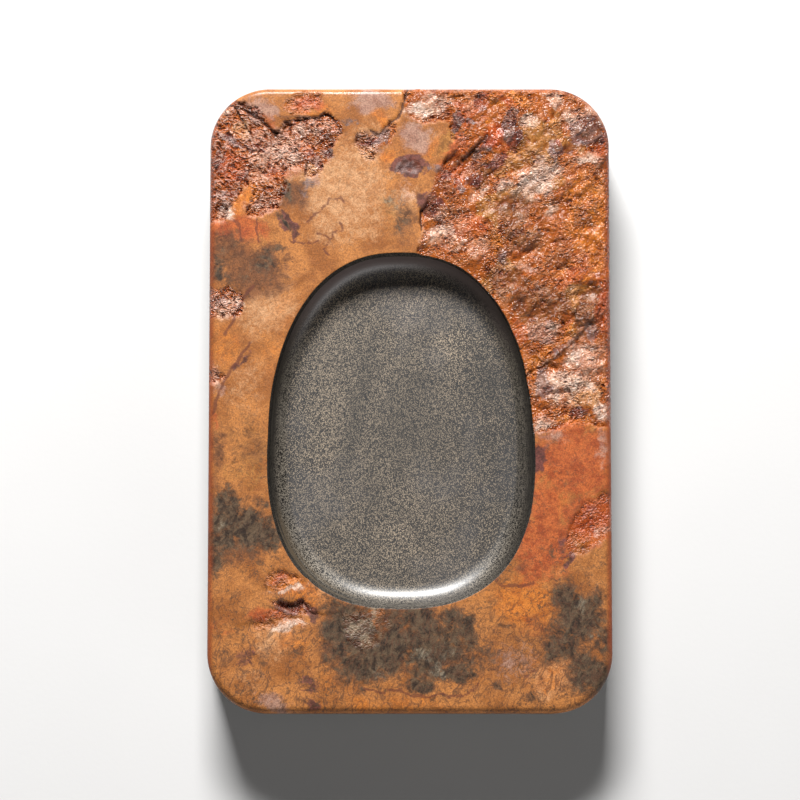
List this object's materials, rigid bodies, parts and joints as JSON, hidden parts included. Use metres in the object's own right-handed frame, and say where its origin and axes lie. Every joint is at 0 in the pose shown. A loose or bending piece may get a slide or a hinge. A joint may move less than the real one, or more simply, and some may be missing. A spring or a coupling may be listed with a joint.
{
  "type": "inkstone",
  "caption": "Rectangular stone slab with round corners and an egg-shaped ink-grinding well cut through a weathered, iron-stained rind.",
  "frame": {"origin": "bottom centre of the slab's box, on its flat back", "axes": "+Y along the slab towards the pool end of the well, +Z out of the carved face, +X to the right of someone who looks at the face with the pool end away from them"},
  "size_m": [0.128, 0.2, 0.026],
  "materials": {
    "dark_stone": "fine honed, speckled",
    "weathered_stone": "satin where worn, waxy and rough where spalled"
  },
  "bodies": {
    "root": {"stone_core": "dark_stone", "weathered_rind": "weathered_stone"}
  },
  "joints": []
}
